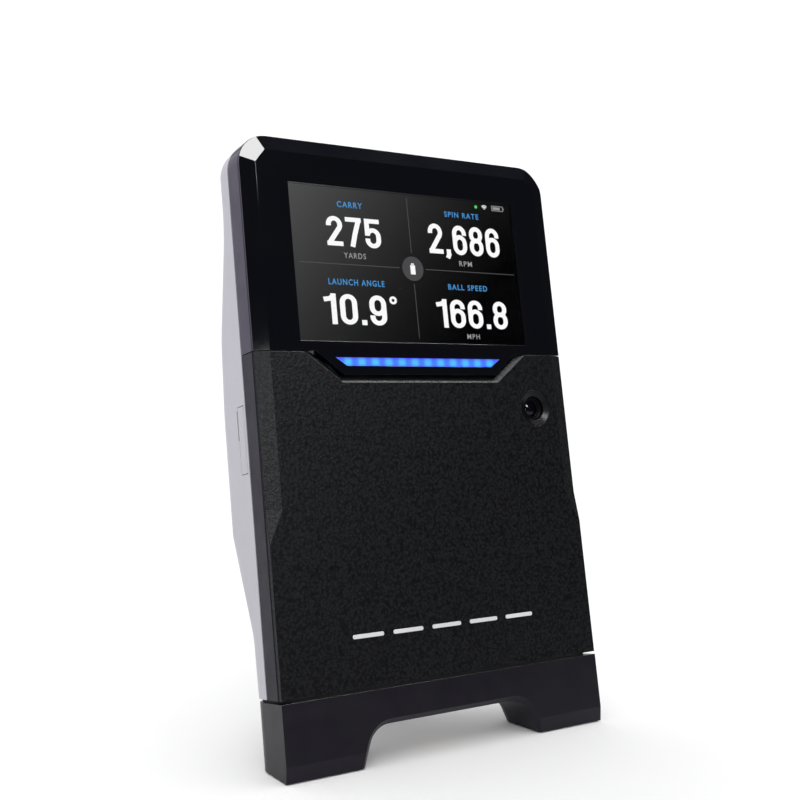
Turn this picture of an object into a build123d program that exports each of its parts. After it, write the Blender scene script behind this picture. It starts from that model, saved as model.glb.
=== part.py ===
"""A portable golf launch monitor: a leaning slab with a screen, a radar behind its cover and a rear stand.

Everything is drawn upright in the body's own frame, in millimetres: X to the right as seen from the front,
Y from the front face towards the back, Z up, with Z = 0 at the seam between the body and its base.
The finished pieces are then leaned back and set down, so the floor is Z = 0 in the files that are written.
"""
from build123d import *
import math
import os

# ---------------------------------------------------------------- driving dimensions
WIDTH = 152.0            # overall width
BODY_HEIGHT = 220.0      # from the base seam to the top, along the face
BASE_HEIGHT = 30.0       # from the base seam to the floor, at the front face
LEAN = 9.2               # degrees the face leans back from vertical
CORNER_RADIUS = 13.0     # the two top corners, seen from the front
SEAM_Z = 132.0           # seam between the screen bezel and the lower cover
SEAM_GAP = 0.4           # width of the seams between covers

BEVEL_WIDTH = 6.5        # bevel round the front face
BEVEL_DEPTH = 1.8
BEVEL_END_Z = 57.0       # the side bevel runs out to nothing here
BEVEL_FADE_Z = 70.5      # and starts to run out here
PLATE = 2.2              # front plates, at their edges
PLATE_STEP = 3.2         # front plates, inside the rails

RAIL_FRONT = 2.45        # side rails: front and back faces, and how thick they are
RAIL_BACK = 12.3
RAIL_THICK = 4.8
TOP_RAIL_Z = 213.5       # the top rail's joints with the side rails

SHELL_FRONT = 12.7       # the rear shell's front rim
SHELL_WALL = 2.4
SHELL_DRAFT = 3.0        # degrees
SHELL_ROUND = 10.5       # rounding along the shell's rear edges
REAR_PROFILE = [         # height along the back, depth of the back there, rounding of that corner
    (BODY_HEIGHT, 28.7, 0), (187.0, 28.7, 60), (144.0, 40.8, 60), (112.0, 43.6, 90),
    (62.0, 43.6, 12), (22.0, 29.0, 16), (0.0, 27.5, 0)]
BACK_FLAT = 43.6         # depth of the flat of the bulge

SCREEN = (-55.9, 55.9, 136.2, 201.2)      # lit window: left, right, bottom, top
TAB_TOP_HALF, TAB_LOW_HALF, TAB_LOW_Z = 49.5, 37.5, 122.8
LIGHT_TOP_HALF, LIGHT_TOP_Z, LIGHT_LOW_HALF, LIGHT_LOW_Z = 40.9, 129.8, 35.9, 126.3
LED_COUNT, LED_PITCH = 12, 6.4
CAMERA_X, CAMERA_Z, CAMERA_RIM, CAMERA_BORE = 57.7, 108.2, 7.9, 5.3
CAMERA_CONE = 1.1        # depth of the camera ring's countersink
LENS_RADIUS, LENS_FRONT, LENS_CURVE = 3.3, 2.9, 5.6
CAMERA_BOARD = (9.0, 8.0)        # half its width and height
RECESS_GAP = 1.1         # gap under the bezel's tab
RECESS_CHAMFER = (2.2, 1.6)      # chamfer round the cut-out for the tab: width and depth

CHASSIS_FRONT, CHASSIS_BACK = 8.4, 10.0
CHASSIS_HALF, CHASSIS_LOW, CHASSIS_TOP = 70.9, 1.2, 212.8

BASE_TOP, BASE_DEPTH, BASE_ROUND = -0.9, 26.6, 10.0
ARCH_LOW_HALF, ARCH_TOP_HALF, ARCH_TOP_Z, ARCH_ROUND = 42.6, 36.5, -14.5, 9.5
ARCH_CHAMFER, ARCH_REAR_ROUND = 2.0, 7.0
TOE_BAND, TOE_CUT = 6.6, 1.2     # chamfer along the bottom front edge: height and depth
PAD_PROUD = 0.5          # how far the rubber pads stand out of the feet
FOOT_WALL, FOOT_SOLE = 3.0, 4.0
SCREW_X, SCREW_Y = 26.0, 15.0    # base screws
TRIPOD_Y = 13.0
FOOT_X, FOOT_Y = 59.2, 13.2      # middle of a foot's rubber pad

HINGE_Y, HINGE_Z, KNUCKLE = 48.4, 66.0, 4.2          # kickstand hinge
LUG_IN, LUG_OUT = 24.0, 29.0
BRACKET_X, BRACKET_Z = 12.0, 78.0                    # kickstand bracket screws
LEG_THICK, LEG_KNEE_Z, TOE_Y, TOE_Z, TOE_RADIUS = 3.0, 20.0, 30.4, -19.5, 2.5

DOOR = (14.2, 20.7, 86.3, 112.7)                      # port cover: front, back, low, high
DOOR_PIN_X, DOOR_PIN_Y, DOOR_PIN_RADIUS = -74.85, 15.25, 0.6
BUTTON_Y, BUTTON_Z, BUTTON_RADIUS, BUTTON_TRAVEL = 19.2, 112.0, 4.5, 0.7
SHELL_SCREWS = [(side * 56.0, z) for side in (-1, 1) for z in (198.0, 126.0, 14.0)]
SCREW_SEAT_DEPTH = 5.0   # how far the shell screws' heads sit below the back
BOSS_BACK = 14.0         # chassis bosses meet the shell's screw posts here

HALF = WIDTH / 2
FLOOR_PLANE = Plane(origin=(0, 0, -BASE_HEIGHT), x_dir=(1, 0, 0),
                    z_dir=(0, -math.sin(math.radians(LEAN)), math.cos(math.radians(LEAN))))
pieces = {}


# ---------------------------------------------------------------- drawing helpers
def block(x0, x1, y0, y1, z0, z1):
    """A box between two corners."""
    return Pos((x0 + x1) / 2, (y0 + y1) / 2, (z0 + z1) / 2) * Box(x1 - x0, y1 - y0, z1 - z0)


def rounded_block(x0, x1, y0, y1, z0, z1, radius, axis):
    """A box with the four edges along one axis rounded."""
    box = block(x0, x1, y0, y1, z0, z1)
    return fillet(box.edges().filter_by(axis), radius)


def rod(radius, start, end, axis, across=(0, 0)):
    """A cylinder along X, Y or Z from start to end. across is its place on the other two axes."""
    length, middle = end - start, (start + end) / 2
    if axis == Axis.X:
        return Pos(middle, *across) * Rot(0, 90, 0) * Cylinder(radius, length)
    if axis == Axis.Y:
        return Pos(across[0], middle, across[1]) * Rot(90, 0, 0) * Cylinder(radius, length)
    return Pos(*across, middle) * Cylinder(radius, length)


def front_prism(outline, y0, y1):
    """Extrudes an outline drawn in X and Z from depth y0 to depth y1."""
    return Pos(0, y0, 0) * extrude(Plane.XZ * make_face(outline), -(y1 - y0))


def side_prism(outline, x0, x1):
    """Extrudes an outline drawn in Y and Z from x0 to x1."""
    return Pos(x0, 0, 0) * extrude(Plane.YZ * make_face(outline), x1 - x0)


def polygon(points):
    return Polyline(*points, close=True)


def body_outline(inset=0.0, low=0.0):
    """The outline seen from the front: square at the bottom, with rounded top corners."""
    half, top, radius = HALF - inset, BODY_HEIGHT - inset, CORNER_RADIUS - inset
    return Polyline((-half, top - radius), (-half, low), (half, low), (half, top - radius)) + [
        CenterArc((half - radius, top - radius), radius, 0, 90),
        Line((half - radius, top), (-half + radius, top)),
        CenterArc((-half + radius, top - radius), radius, 90, 90)]


def slope_cut(shape, point, outward, slope):
    """Cuts away what lies in front of a bevel that starts at point on the front face and deepens outward."""
    across = Vector(outward[0], 0, outward[1]).normalized()
    normal = (Vector(0, -1, 0) + across * slope).normalized()
    return split(shape, bisect_by=Plane(origin=(point[0], 0, point[1]), z_dir=normal), keep=Keep.BOTTOM)


def cap_screw(head_radius, head_height, shank_radius, length):
    """A pan-head screw with a cross recess, pointing down -Z, with its head's underside at the origin."""
    head = Pos(0, 0, head_height / 2) * Cylinder(head_radius, head_height)
    head = fillet(head.edges().group_by(Axis.Z)[-1], head_height * 0.35)
    for turn in (0, 90):
        head -= Rot(0, 0, turn) * Pos(0, 0, head_height) * Box(head_radius * 1.1, 0.6, head_height * 0.9)
    return head + Pos(0, 0, -length / 2) * Cylinder(shank_radius, length)


TO_BACK = Rot(-90, 0, 0)      # a screw's head faces the back
TO_FRONT = Rot(90, 0, 0)      # a screw's head faces the front
TO_FLOOR = Rot(180, 0, 0)     # a screw's head faces down


def add(name, shape, *more):
    pieces[name] = Compound(children=[shape, *more]) if more else shape


# ---------------------------------------------------------------- front covers
def display_bezel():
    outer = front_prism(body_outline(0.2, SEAM_Z + SEAM_GAP / 2), 0, PLATE)
    slope = BEVEL_DEPTH / BEVEL_WIDTH
    inner_x, inner_z = HALF - BEVEL_WIDTH, BODY_HEIGHT - BEVEL_WIDTH
    outer = slope_cut(outer, (0, inner_z), (0, 1), slope)
    for side in (-1, 1):
        outer = slope_cut(outer, (side * inner_x, 0), (side, 0), slope)
        outer = slope_cut(outer, (side * inner_x, inner_z - 5.4), (side * 5.0, 4.1), slope)
    outer += front_prism(body_outline(5.2, SEAM_Z + SEAM_GAP / 2), PLATE, PLATE_STEP)
    tab = polygon([(-TAB_TOP_HALF, SEAM_Z + 0.3), (-TAB_LOW_HALF, TAB_LOW_Z),
                   (TAB_LOW_HALF, TAB_LOW_Z), (TAB_TOP_HALF, SEAM_Z + 0.3)])
    outer += front_prism(tab, 0, PLATE_STEP)
    left, right, low, high = SCREEN
    outer -= block(left, right, -1, PLATE_STEP + 1, low, high)
    return outer - front_prism(light_outline(0), -1, PLATE_STEP + 1)


def light_outline(inset):
    """The trapezium of the light bar."""
    top, low = LIGHT_TOP_HALF - 3 * inset, LIGHT_LOW_HALF - inset
    return polygon([(-top, LIGHT_TOP_Z - inset), (-low, LIGHT_LOW_Z + inset),
                    (low, LIGHT_LOW_Z + inset), (top, LIGHT_TOP_Z - inset)])


def tab_recess(grow):
    """The outline of the lower cover's cut-out round the bezel's tab, grown by an amount on every side."""
    rise, run = SEAM_Z - TAB_LOW_Z, TAB_TOP_HALF - TAB_LOW_HALF
    slant = run / rise
    widen = (RECESS_GAP + grow) * math.hypot(rise, run) / rise      # sideways shift of a slanted side
    top, low = SEAM_Z + 2 + grow, TAB_LOW_Z - RECESS_GAP - grow
    half_top = TAB_LOW_HALF + slant * (top - TAB_LOW_Z) + widen
    half_low = TAB_LOW_HALF + slant * (low - TAB_LOW_Z) + widen
    return polygon([(-half_top, top), (-half_low, low), (half_low, low), (half_top, top)])


def radome_cover():
    top = SEAM_Z - SEAM_GAP / 2
    plate = block(-HALF + 0.2, HALF - 0.2, 0, PLATE, 0.3, top)
    slope = BEVEL_DEPTH / BEVEL_WIDTH
    inner = HALF - BEVEL_WIDTH
    for side in (-1, 1):
        wedge = block(side * inner - 10, side * inner + 10, -1, PLATE, BEVEL_END_Z - 5, top + 1)
        start = Plane(origin=(side * inner, 0, 0), z_dir=(side * slope, -1, 0))
        wedge = split(wedge, bisect_by=start, keep=Keep.TOP)
        fade_start = Vector(side * inner, 0, BEVEL_FADE_Z)
        along = Vector(side * HALF, 0, BEVEL_END_Z) - fade_start
        down = Vector(side * HALF, BEVEL_DEPTH, BEVEL_FADE_Z) - fade_start
        normal = along.cross(down)
        normal = normal * (-1 if normal.Y > 0 else 1)
        wedge = split(wedge, bisect_by=Plane(origin=fade_start, z_dir=normal), keep=Keep.TOP)
        plate -= wedge
    plate += block(-HALF + 5.2, HALF - 5.2, PLATE, PLATE_STEP, 0.3, top)
    plate -= front_prism(tab_recess(0), -1, PLATE_STEP + 1)
    width, depth = RECESS_CHAMFER
    flare = make_face(tab_recess(width))
    plate -= extrude(Plane.XZ * flare, -depth, taper=math.degrees(math.atan2(width, depth)))
    plate -= rod(CAMERA_RIM + 0.05, -1, PLATE_STEP + 1, Axis.Y, (CAMERA_X, CAMERA_Z))
    for bar in trim_bars(0.05):
        plate -= bar
    return plate


def trim_bars(grow):
    """A plain row of short inlaid bars on the lower cover."""
    count, pitch, length, height, z = 5, 18.4, 14.0, 1.6, 20.0
    half, rise = length / 2 + grow, height / 2 + grow
    front = -0.05 if grow == 0 else -0.5
    middles = [(i - (count - 1) / 2) * pitch for i in range(count)]
    return [rounded_block(x - half, x + half, front, 0.5 + grow, z - rise, z + rise, 0.7, Axis.Y)
            for x in middles]


def camera_trim_ring():
    ring = rod(CAMERA_RIM, 0, PLATE_STEP, Axis.Y, (CAMERA_X, CAMERA_Z))
    ring -= rod(CAMERA_BORE, -1, PLATE_STEP + 1, Axis.Y, (CAMERA_X, CAMERA_Z))
    cone = Cone(CAMERA_BORE, CAMERA_RIM - 0.25, CAMERA_CONE)
    cone = Pos(CAMERA_X, CAMERA_CONE / 2, CAMERA_Z) * Rot(90, 0, 0) * cone
    return ring - cone


def around_camera(grow, y0, y1):
    """The camera board's outline, grown by an amount, from depth y0 to depth y1."""
    wide, tall = (half + grow for half in CAMERA_BOARD)
    board = rounded_block(-wide, wide, y0, y1, -tall, tall, 1, Axis.Y)
    return Pos(CAMERA_X, 0, CAMERA_Z) * board


def build_front():
    left, right, low, high = SCREEN
    add("display_bezel", display_bezel())
    add("display_glass", block(left + 0.08, right - 0.08, 0, 1.4, low + 0.08, high - 0.08))
    panel = block(left + 0.2, right - 0.2, 1.5, 3.4, low + 0.2, high - 0.2)
    add("display_panel", panel + block(-61, 61, 3.4, 6.4, 132.8, 205.2))
    bracket = rounded_block(-64, 64, 3.4, 7.6, 131.6, 208.2, 3, Axis.Y)
    bracket -= block(-61.2, 61.2, 3.3, 6.6, 132.6, 205.4)
    bracket -= rounded_block(-50, 50, 6, 8, 142, 196, 4, Axis.Y)
    for x in (-62.6, 62.6):
        for z in (140, 200):
            bracket += block(min(x, x * 1.08), max(x, x * 1.08), 6.4, 7.6, z - 4, z + 4)
    add("display_bracket", bracket)
    add("led_light_bar", front_prism(light_outline(0.06), 0.2, 3.3))
    board = block(-43, 43, 4.2, 5.2, 124.8, 130.8)
    for i in range(LED_COUNT):
        x = (i - (LED_COUNT - 1) / 2) * LED_PITCH
        board += block(x - 1.4, x + 1.4, 3.5, 4.2, 127.2, 129.4)
    add("led_board", board)
    add("radome_cover", radome_cover())
    add("front_trim_bars", *trim_bars(0))
    add("camera_trim_ring", camera_trim_ring())
    at = (CAMERA_X, CAMERA_Z)
    rim = LENS_FRONT + LENS_CURVE - math.sqrt(LENS_CURVE ** 2 - LENS_RADIUS ** 2)
    dome = Pos(CAMERA_X, LENS_FRONT + LENS_CURVE, CAMERA_Z) * Sphere(LENS_CURVE)
    lens = (dome & rod(LENS_RADIUS, 0, rim, Axis.Y, at)) + rod(LENS_RADIUS, rim, rim + 1.2, Axis.Y, at)
    add("camera_lens", lens)
    barrel = rod(CAMERA_BORE - 0.1, 2.4, 8.3, Axis.Y, at) - rod(4.4, 0, 3.0, Axis.Y, at)
    barrel -= rod(LENS_RADIUS + 0.05, 0, rim + 1.2, Axis.Y, at) + rod(2.4, 3, 7.5, Axis.Y, at)
    add("camera_barrel", barrel)
    add("camera_board", around_camera(0, 8.35, 9.75))


# ---------------------------------------------------------------- rails, gaskets and rear shell
def rail_ring():
    ring = front_prism(body_outline(0.0, 0.3), RAIL_FRONT, RAIL_BACK)
    return ring - front_prism(body_outline(RAIL_THICK, -5), RAIL_FRONT - 1, RAIL_BACK + 1)


def build_rails():
    ring = rail_ring()
    seam, top, low = SEAM_Z, TOP_RAIL_Z, 0.3
    gap = SEAM_GAP / 2
    for side, name in ((-1, "left"), (1, "right")):
        x0, x1 = sorted((side * 60, side * (HALF + 1)))
        for z0, z1, level in ((low - 1, seam - gap, "lower"), (seam + gap, top - gap, "upper")):
            rail = ring & block(x0, x1, 0, 20, z0, z1)
            outer = rail.edges().filter_by(Axis.Z).group_by(Axis.X)[0 if side < 0 else -1]
            add(f"{level}_rail_{name}", chamfer(outer, 0.35))
    add("top_rail", ring & block(-HALF - 1, HALF + 1, 0, 20, top + gap, BODY_HEIGHT + 1))
    gasket = front_prism(body_outline(0.7, 0.9), RAIL_BACK, SHELL_FRONT)
    add("shell_gasket", gasket - front_prism(body_outline(3.0, 3.0), RAIL_BACK - 1, SHELL_FRONT + 1))


def rear_profile(inset):
    """The back's profile in Y and Z, with the front side well clear of the shell, moved in by an inset."""
    points = [(depth - inset, z) for z, depth, _ in REAR_PROFILE]
    points[0] = (points[0][0], BODY_HEIGHT + 20)
    points[-1] = (points[-1][0], -20)
    back = FilletPolyline(*points, radius=[r for _, _, r in REAR_PROFILE[1:-1]])
    return back + [Polyline(points[-1], (-30, -20), (-30, BODY_HEIGHT + 20), points[0])]


def shell_solid(inset, front):
    """The rear shell's outside, or its inside when inset by the wall."""
    outline = make_face(body_outline(inset, -12))
    reach = BACK_FLAT + 15
    slab = Pos(0, SHELL_FRONT, 0) * extrude(Plane.XZ * outline, -reach, taper=SHELL_DRAFT)
    if front < SHELL_FRONT:
        slab += front_prism(body_outline(inset, -12), front, SHELL_FRONT)
    slab &= side_prism(rear_profile(inset), -HALF - 5, HALF + 5)
    behind = [e for e in slab.edges() if e.center().Y > 20 and e.center().Z > -11]
    along = [e for e in behind if not (abs(e.tangent_at(0.5).X) > 0.9 and e.center().Z < BODY_HEIGHT - 10)]
    slab = fillet(along, SHELL_ROUND - inset)
    return slab & block(-100, 100, front, 100, 0.3 + inset, BODY_HEIGHT + 5)


def back_depth(z):
    """Depth of the back at a height, ignoring the rounded corners of the profile."""
    for (z1, d1, _), (z0, d0, _) in zip(REAR_PROFILE, REAR_PROFILE[1:]):
        if z0 <= z <= z1:
            return d0 + (d1 - d0) * (z - z0) / (z1 - z0)
    return BACK_FLAT


def rear_shell():
    outside = shell_solid(0, SHELL_FRONT)
    shell = outside - shell_solid(SHELL_WALL, 5)
    for x, z in SHELL_SCREWS:
        shell += rod(4.2, BOSS_BACK + 0.05, 60, Axis.Y, (x, z)) & outside
        shell -= rod(3.3, back_depth(z) - SCREW_SEAT_DEPTH, 70, Axis.Y, (x, z))
        shell -= rod(1.65, 5, 70, Axis.Y, (x, z))
    front, back, low, high = DOOR
    shell += block(-73.8, -71.4, front - 0.9, back + 1.2, low - 3, high + 3)
    shell -= block(-80, -73.55, front - 0.2, back + 0.2, low - 0.25, high + 0.25)
    shell -= block(-80, -74.6, back, back + 1.0, 99.7, 111.6)
    shell -= rod(DOOR_PIN_RADIUS + 0.02, low - 1.8, high + 1.8, Axis.Z, (DOOR_PIN_X, DOOR_PIN_Y))
    shell -= rounded_block(-75, -70, 15.65, 19.15, 89.3, 98.7, 1.6, Axis.X)
    shell -= block(-75, -70, 16.4, 18.4, 101.0, 110.4)
    shell -= rod(BUTTON_RADIUS + 0.15, 60, 80, Axis.X, (BUTTON_Y, BUTTON_Z))
    for i in range(7):
        x = (i - 3) * 3.6
        reach = 9.5 - abs(i - 3) * 1.6
        shell -= rounded_block(x - 0.8, x + 0.8, 20, 35, 200 - reach, 200 + reach, 0.75, Axis.Y)
    for x in (-BRACKET_X, BRACKET_X):
        shell += rod(4.0, BACK_FLAT - 7, BACK_FLAT - 1, Axis.Y, (x, BRACKET_Z))
        shell -= rod(1.52, BACK_FLAT - 6, BACK_FLAT + 5, Axis.Y, (x, BRACKET_Z))
    for x in (-SCREW_X, SCREW_X):
        shell -= rod(1.7, -1, 5, Axis.Z, (x, SCREW_Y))
    return shell


def build_shell():
    add("rear_shell", rear_shell())
    screws = []
    for x, z in SHELL_SCREWS:
        seat = back_depth(z) - SCREW_SEAT_DEPTH
        screws.append(Pos(x, seat, z) * TO_BACK * cap_screw(2.9, 1.9, 1.5, seat - CHASSIS_FRONT - 0.6))
    add("rear_shell_screws", *screws)


# ---------------------------------------------------------------- chassis and electronics
def build_chassis():
    plate = rounded_block(-CHASSIS_HALF, CHASSIS_HALF, CHASSIS_FRONT, CHASSIS_BACK, CHASSIS_LOW, CHASSIS_TOP,
                          8, Axis.Y)
    for x, z in SHELL_SCREWS:
        plate += rod(3.6, CHASSIS_BACK - 0.2, BOSS_BACK, Axis.Y, (x, z))
        plate -= rod(1.52, 5, 20, Axis.Y, (x, z))
    plate -= around_camera(0.3, 5, 20)
    plate -= rounded_block(-18, 18, 5, 20, 126, 134, 2, Axis.Y)
    for x, z in BOARD_POSTS:
        plate += rod(2.6, CHASSIS_BACK - 0.2, 12.4, Axis.Y, (x, z))
        plate -= rod(1.02, 5, 20, Axis.Y, (x, z))
    for x, z in RADAR_POSTS:
        plate += rod(2.6, 5.5, CHASSIS_FRONT + 0.2, Axis.Y, (x, z))
        plate -= rod(1.02, 5, 20, Axis.Y, (x, z))
    for x in (-SCREW_X, SCREW_X):
        plate += block(x - 6, x + 6, CHASSIS_BACK - 0.2, 20, 3.1, 12)
        plate -= rod(1.52, 0, 11, Axis.Z, (x, SCREW_Y))
    add("chassis", plate)


BOARD_POSTS = [(x, z) for x in (-46, 46) for z in (24, 127)]
RADAR_POSTS = [(x, z) for x in (-56, 56) for z in (24, 90)]


def build_electronics():
    radar = rounded_block(-61, 61, 4.3, 5.4, 18, 96, 2, Axis.Y)
    for x, z in RADAR_POSTS:
        radar -= rod(1.2, 4, 6, Axis.Y, (x, z))
    add("radar_board", radar)
    places = [((i - 3.5) * 11, 57 + (j - 2) * 13) for i in range(8) for j in range(5)]
    add("radar_patches", *[block(x - 3, x + 3, 4.1, 4.3, z - 3, z + 3) for x, z in places])
    shield = rounded_block(-40, 40, 5.4, 8.2, 30, 84, 2, Axis.Y)
    add("radar_shield", shield - block(-39.4, 39.4, 5, 7.6, 30.6, 83.4))
    board = rounded_block(-50, 50, 12.4, 14.0, 20, 131, 2, Axis.Y)
    for x, z in BOARD_POSTS:
        board -= rod(1.2, 12, 15, Axis.Y, (x, z))
    chips = [(-44, -30, 98, 108, 16.6), (24, 44, 100, 116, 16.0), (-10, 10, 122, 127, 17.0),
             (-42, -30, 30, 40, 17.4), (20, 38, 24, 32, 16.8)]
    for x0, x1, z0, z1, high in chips:
        board += block(x0, x1, 13.9, high, z0, z1)
    add("main_board", board)
    sink = block(-20, 20, 14.1, 17.0, 97, 120)
    for i in range(10):
        sink += block(-20 + i * 4.2, -18.6 + i * 4.2, 16.9, 25.0, 97, 120)
    add("heat_sink", sink)
    cells = [rod(9.2, x - 32.4, x + 32.4, Axis.X, (27.2, z)) for x in (-32.7, 32.7) for z in (60.5, 79.5)]
    add("battery_cells", *cells)
    holder = block(-66.0, 66.0, 17.9, 25, 50.6, 89.4)
    for cell in cells:
        holder -= cell
    holder -= block(-65.2, 65.2, 20, 30, 51.4, 88.6)
    for z in (60.5, 79.5):
        holder -= rod(9.25, -65.2, 65.2, Axis.X, (27.2, z))
    holder -= block(-64, 64, 17, 22, 66, 74)
    add("battery_holder", holder)
    speaker = rod(14, 20.2, 23.4, Axis.Y, (0, 200)) + rod(9, 16.5, 20.3, Axis.Y, (0, 200))
    speaker = speaker - rod(12.4, 22.6, 24, Axis.Y, (0, 200)) + rod(5, 22.4, 23.2, Axis.Y, (0, 200))
    add("speaker", speaker)
    add("wifi_antenna", rounded_block(-26, 26, 14.0, 14.6, 206.5, 212.5, 1, Axis.Y))
    add("io_board", block(-67.5, -66.1, 14, 27.5, 92, 116))
    port = rounded_block(-73.3, -67.5, 15.8, 19.0, 92.15, 98.55, 1.5, Axis.X)
    port -= rounded_block(-74, -68.2, 16.1, 18.7, 92.45, 98.25, 1.2, Axis.X)
    add("usb_c_port", port + block(-72.6, -68.1, 17.1, 17.7, 93.2, 97.5))
    slot = block(-73.2, -67.5, 16.5, 18.3, 101.2, 110.2)
    add("card_slot", slot - block(-74, -68.2, 16.9, 17.9, 101.6, 109.8))
    switch = block(67.0, 70.0, BUTTON_Y - 3, BUTTON_Y + 3, BUTTON_Z - 3, BUTTON_Z + 3)
    add("power_switch", switch + rod(1.6, 69.9, 71.2, Axis.X, (BUTTON_Y, BUTTON_Z)))
    add("button_board", block(65.6, 67.0, 14, 25, BUTTON_Z - 9, BUTTON_Z + 9))
    add("board_screws", *[Pos(x, 14.0, z) * TO_BACK * cap_screw(2.0, 1.2, 1.0, 5) for x, z in BOARD_POSTS])
    add("radar_screws", *[Pos(x, 4.3, z) * TO_FRONT * cap_screw(2.0, 0.9, 1.0, 4.8) for x, z in RADAR_POSTS])
    ribbon = block(-12, 12, 7.9, 8.15, 129, 160) + block(-12, 12, 7.9, 11.3, 129, 129.45)
    add("display_ribbon", ribbon + block(-12, 12, 11.05, 11.3, 112, 129.4))


# ---------------------------------------------------------------- port cover and power button
def build_port_cover():
    front, back, low, high = DOOR
    outside = shell_solid(0, SHELL_FRONT)
    door = outside & block(-80, -73.75, DOOR_PIN_Y, back, low, high)
    door += rod(1.0, low, high, Axis.Z, (DOOR_PIN_X, DOOR_PIN_Y))
    door -= rod(DOOR_PIN_RADIUS + 0.05, low - 1, high + 1, Axis.Z, (DOOR_PIN_X, DOOR_PIN_Y))
    add("port_cover", door)
    add("port_cover_pin", rod(DOOR_PIN_RADIUS, low - 1.6, high + 1.6, Axis.Z, (DOOR_PIN_X, DOOR_PIN_Y)))


def build_button():
    cap = rod(BUTTON_RADIUS, 72.7, 75.98, Axis.X, (BUTTON_Y, BUTTON_Z))
    cap = fillet(cap.edges().group_by(Axis.X)[-1], 0.5)
    cap += rod(5.6, 71.95, 72.75, Axis.X, (BUTTON_Y, BUTTON_Z))
    add("power_button", cap)


# ---------------------------------------------------------------- base
def arch_edges(base, depth):
    """The edges of the arch between the feet, on the front or the rear face."""
    on_face = [e for e in base.edges() if abs(e.center().Y - depth) < 0.01 and abs(e.center().X) < HALF - 20
               and e.center().Z < ARCH_TOP_Z + 0.1]
    return [e for e in on_face if not (abs(e.tangent_at(0.5).X) > 0.9 and e.center().Z < -BASE_HEIGHT)]


def foot_pocket(side):
    """The hollow inside a foot."""
    x0, x1 = sorted((side * (HALF - FOOT_WALL), side * (ARCH_LOW_HALF + 5)))
    pocket = block(x0, x1, 3.5, BASE_DEPTH - 4, -BASE_HEIGHT - 10, -4)
    return split(pocket, bisect_by=FLOOR_PLANE.offset(FOOT_SOLE), keep=Keep.TOP)


def base_body():
    low = -BASE_HEIGHT - 3
    foot = ARCH_LOW_HALF + (ARCH_LOW_HALF - ARCH_TOP_HALF) * (-BASE_HEIGHT - low) / (ARCH_TOP_Z + BASE_HEIGHT)
    right = [(ARCH_TOP_HALF, ARCH_TOP_Z), (foot, low), (HALF, low), (HALF, BASE_TOP)]
    outline = polygon(right + [(-x, z) for x, z in reversed(right)])
    base = front_prism(outline, 0, BASE_DEPTH)
    soffit = [e for e in base.edges().filter_by(Axis.Y) if abs(e.center().Z - ARCH_TOP_Z) < 0.1]
    base = fillet(soffit, ARCH_ROUND)
    rear = [e for e in base.edges().filter_by(Axis.Z) if e.center().Y > 20 and abs(e.center().X) > HALF - 1]
    base = fillet(rear, BASE_ROUND)
    base = fillet(arch_edges(base, BASE_DEPTH), ARCH_REAR_ROUND)
    base = chamfer(arch_edges(base, 0), ARCH_CHAMFER)
    base = split(base, bisect_by=FLOOR_PLANE.offset(PAD_PROUD), keep=Keep.TOP)
    toe = Plane(origin=(0, 0, TOE_BAND - BASE_HEIGHT), z_dir=(0, -TOE_BAND, -TOE_CUT))
    base = split(base, bisect_by=toe, keep=Keep.BOTTOM)
    for side in (-1, 1):
        base -= foot_pocket(side)
    base -= rod(5.0, ARCH_TOP_Z - 1, -5.5, Axis.Z, (0, TRIPOD_Y))
    for x in (-SCREW_X, SCREW_X):
        base -= rod(3.1, ARCH_TOP_Z - 1, ARCH_TOP_Z + 4, Axis.Z, (x, SCREW_Y))
        base -= rod(1.7, ARCH_TOP_Z, 0, Axis.Z, (x, SCREW_Y))
    return base


def foot_pad_plan(side, inset):
    """A pad's rounded footprint, standing on the floor."""
    box = Pos(side * FOOT_X, FOOT_Y, 1.0) * Box(25 - 2 * inset, 16 - 2 * inset, 2.0)
    return FLOOR_PLANE.location * fillet(box.edges().filter_by(Axis.Z), 3 - inset)


def build_base():
    base = base_body()
    pads = []
    for side in (-1, 1):
        base -= split(foot_pad_plan(side, -0.05), bisect_by=FLOOR_PLANE.offset(1.2), keep=Keep.BOTTOM)
        pads.append(split(foot_pad_plan(side, 0), bisect_by=FLOOR_PLANE.offset(1.18), keep=Keep.BOTTOM))
    add("base", base)
    add("foot_pads", *pads)
    gasket = rounded_block(-HALF + 1.2, HALF - 1.2, 1.4, BASE_DEPTH - 1.5, BASE_TOP, 0.3, 8, Axis.Z)
    gasket -= rounded_block(-HALF + 4, HALF - 4, 4, BASE_DEPTH - 4, -3, 3, 6, Axis.Z)
    add("base_gasket", gasket)
    insert = rod(4.98, ARCH_TOP_Z, -5.6, Axis.Z, (0, TRIPOD_Y))
    add("tripod_insert", insert - rod(3.175, -20, -6.6, Axis.Z, (0, TRIPOD_Y)))
    screw = TO_FLOOR * cap_screw(2.9, 1.9, 1.5, 20.4)
    add("base_screws", *[Pos(x, SCREW_Y, ARCH_TOP_Z + 4) * screw for x in (-SCREW_X, SCREW_X)])


# ---------------------------------------------------------------- kickstand
def swing_angle():
    """The leg's turn, in degrees, from lying against the back to standing with its foot on the floor."""
    lean = math.radians(LEAN)
    hinge_height = (HINGE_Z + BASE_HEIGHT) * math.cos(lean) - HINGE_Y * math.sin(lean)
    reach = math.hypot(TOE_Y - HINGE_Y, TOE_Z - HINGE_Z)
    standing = math.acos((hinge_height - TOE_RADIUS) / reach) + lean
    stowed = math.atan2(TOE_Y - HINGE_Y, HINGE_Z - TOE_Z)
    return math.degrees(standing - stowed)


def deployed(shape):
    return Pos(0, HINGE_Y, HINGE_Z) * Rot(swing_angle(), 0, 0) * Pos(0, -HINGE_Y, -HINGE_Z) * shape


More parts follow.
